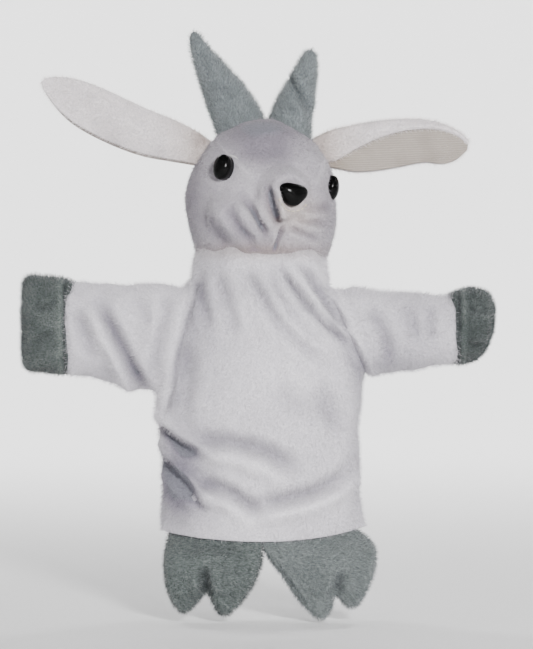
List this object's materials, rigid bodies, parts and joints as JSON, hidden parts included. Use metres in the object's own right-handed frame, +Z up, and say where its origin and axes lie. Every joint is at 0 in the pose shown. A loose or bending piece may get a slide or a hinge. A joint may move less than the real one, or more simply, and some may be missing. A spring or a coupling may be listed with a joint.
{
  "type": "glove puppet",
  "caption": "Goat glove puppet in short pile plush: stuffed head on a finger tube, ears, horns, sleeves with hoof mitts and two padded feet at the hem.",
  "frame": {"origin": "centre of the hand opening at the hem", "axes": "+Z up to the head, -Y to the front, +X to the puppet's own left"},
  "size_m": [0.2265, 0.0796, 0.2815],
  "materials": {
    "plush_white": "short pile plush, slightly lavender white",
    "plush_grey": "short pile plush, blue-green grey",
    "knit_cream": "fine ribbed knit",
    "stuffing": "loose polyester fibre",
    "lining_cloth": "plain woven cloth, stiffened",
    "tape": "twill tape",
    "thread": "sewing thread",
    "eye_black": "polished black",
    "washer_plastic": "plain moulded"
  },
  "bodies": {
    "torso": {"body_front": "plush_white", "body_back": "plush_white"},
    "neck": {"neck_tape": "tape"},
    "head": {"head_gusset": "plush_white", "head_side_left": "plush_white", "head_side_right": "plush_white", "head_stuffing": "stuffing", "finger_tube": "lining_cloth", "eye_left": "eye_black", "eye_right": "eye_black", "eye_washer_left": "washer_plastic", "eye_washer_right": "washer_plastic", "nose": "eye_black", "nose_washer": "washer_plastic", "chin_stitches": "thread"},
    "ear_left": {"ear_left_outer": "plush_white", "ear_left_lining": "knit_cream"},
    "ear_right": {"ear_right_outer": "plush_white", "ear_right_lining": "knit_cream"},
    "horn_left": {"horn_left_shell": "plush_grey", "horn_left_stuffing": "stuffing"},
    "horn_right": {"horn_right_shell": "plush_grey", "horn_right_stuffing": "stuffing"},
    "arm_left": {"sleeve_left": "plush_white"},
    "arm_right": {"sleeve_right": "plush_white"},
    "hoof_left": {"hoof_left": "plush_grey"},
    "hoof_right": {"hoof_right": "plush_grey"},
    "foot_left": {"foot_left_front": "plush_grey", "foot_left_back": "plush_grey", "foot_left_stuffing": "stuffing"},
    "foot_right": {"foot_right_front": "plush_grey", "foot_right_back": "plush_grey", "foot_right_stuffing": "stuffing"}
  },
  "joints": [
    {"name": "head_nod", "type": "hinge", "parent": "torso", "child": "neck", "pos_m": [-0.0005, 0, 0.131], "axis": [1, 0, 0], "range_deg": [-20, 30], "stiffness_Nm_per_rad": 0.12},
    {"name": "head_turn", "type": "hinge", "parent": "neck", "child": "head", "pos_m": [-0.0005, 0, 0.131], "axis": [0, 0, 1], "range_deg": [-60, 20], "stiffness_Nm_per_rad": 0.05},
    {"name": "ear_left_flap", "type": "hinge", "parent": "head", "child": "ear_left", "pos_m": [0.0361, 0.006, 0.186], "axis": [0, -1, 0], "range_deg": [-45, 20], "stiffness_Nm_per_rad": 0.02},
    {"name": "ear_right_flap", "type": "hinge", "parent": "head", "child": "ear_right", "pos_m": [-0.0372, -0.004, 0.187], "axis": [0, 1, 0], "range_deg": [-45, 20], "stiffness_Nm_per_rad": 0.02},
    {"name": "horn_left_sway", "type": "hinge", "parent": "head", "child": "horn_left", "pos_m": [0.013, 0, 0.198], "axis": [0, 1, 0], "range_deg": [-12, 12], "stiffness_Nm_per_rad": 0.03},
    {"name": "horn_right_sway", "type": "hinge", "parent": "head", "child": "horn_right", "pos_m": [-0.0105, 0, 0.1995], "axis": [0, 1, 0], "range_deg": [-12, 12], "stiffness_Nm_per_rad": 0.03},
    {"name": "arm_left_raise", "type": "hinge", "parent": "torso", "child": "arm_left", "pos_m": [0.048, 0, 0.097], "axis": [0, -1, 0], "range_deg": [-30, 30], "stiffness_Nm_per_rad": 0.05},
    {"name": "arm_right_raise", "type": "hinge", "parent": "torso", "child": "arm_right", "pos_m": [-0.048, 0, 0.097], "axis": [0, 1, 0], "range_deg": [-30, 30], "stiffness_Nm_per_rad": 0.05},
    {"name": "hoof_left_bend", "type": "hinge", "parent": "arm_left", "child": "hoof_left", "pos_m": [0.093, 0, 0.1008], "axis": [0, 0, -1], "range_deg": [-20, 40], "stiffness_Nm_per_rad": 0.01},
    {"name": "hoof_right_bend", "type": "hinge", "parent": "arm_right", "child": "hoof_right", "pos_m": [-0.093, 0, 0.1012], "axis": [0, 0, 1], "range_deg": [-20, 40], "stiffness_Nm_per_rad": 0.01},
    {"name": "foot_left_swing", "type": "hinge", "parent": "torso", "child": "foot_left", "pos_m": [0.027, -0.019, -0.001], "axis": [-1, 0, 0], "range_deg": [-30, 70]},
    {"name": "foot_right_swing", "type": "hinge", "parent": "torso", "child": "foot_right", "pos_m": [-0.023, -0.019, -0.001], "axis": [-1, 0, 0], "range_deg": [-30, 70]}
  ]
}
